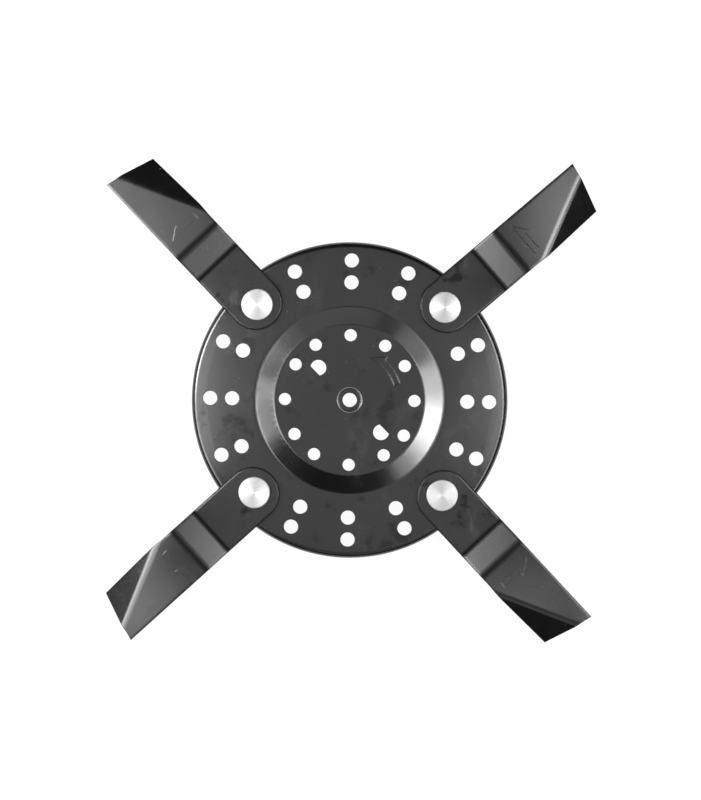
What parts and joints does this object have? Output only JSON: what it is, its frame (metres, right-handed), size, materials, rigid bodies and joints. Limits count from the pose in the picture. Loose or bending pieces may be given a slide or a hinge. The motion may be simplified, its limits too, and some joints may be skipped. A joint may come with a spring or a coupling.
{
  "type": "rotary mower blade",
  "caption": "Dished steel disc with swing-back cutting blades on pivot bolts, each stepped towards the ground and folded into a lift wing, for the shaft of a rotary mower.",
  "frame": {"origin": "centre of the bore, on the hub face", "axes": "+Z along the bore, towards the side the blades are on; +X and +Y each through a middle row of disc holes"},
  "size_m": [0.4018, 0.3951, 0.0318],
  "materials": {
    "black_paint": "satin",
    "turned_steel": "turned",
    "zinc_plate": "satin",
    "nylon": "matte"
  },
  "bodies": {
    "rotor": {"blade_disc": "black_paint", "pivot_bolt_1": "turned_steel", "pivot_bolt_2": "turned_steel", "pivot_bolt_3": "turned_steel", "pivot_bolt_4": "turned_steel", "washers": "zinc_plate", "lock_nuts": "zinc_plate", "nut_inserts": "nylon"},
    "swing_blade_1": {"blade_1": "black_paint"},
    "swing_blade_2": {"blade_2": "black_paint"},
    "swing_blade_3": {"blade_3": "black_paint"},
    "swing_blade_4": {"blade_4": "black_paint"}
  },
  "joints": [
    {"name": "blade_1_pivot", "type": "hinge", "parent": "rotor", "child": "swing_blade_1", "pos_m": [0.07708, 0.07708, 0.0133], "axis": [0, 0, 1], "range_deg": [-56.2, 63.8]},
    {"name": "blade_2_pivot", "type": "hinge", "parent": "rotor", "child": "swing_blade_2", "pos_m": [-0.07708, 0.07708, 0.0133], "axis": [0, 0, 1], "range_deg": [-59.3, 60.7]},
    {"name": "blade_3_pivot", "type": "hinge", "parent": "rotor", "child": "swing_blade_3", "pos_m": [-0.07708, -0.07708, 0.0133], "axis": [0, 0, 1], "range_deg": [-57.9, 62.1]},
    {"name": "blade_4_pivot", "type": "hinge", "parent": "rotor", "child": "swing_blade_4", "pos_m": [0.07708, -0.07708, 0.0133], "axis": [0, 0, 1], "range_deg": [-58.7, 61.3]}
  ]
}
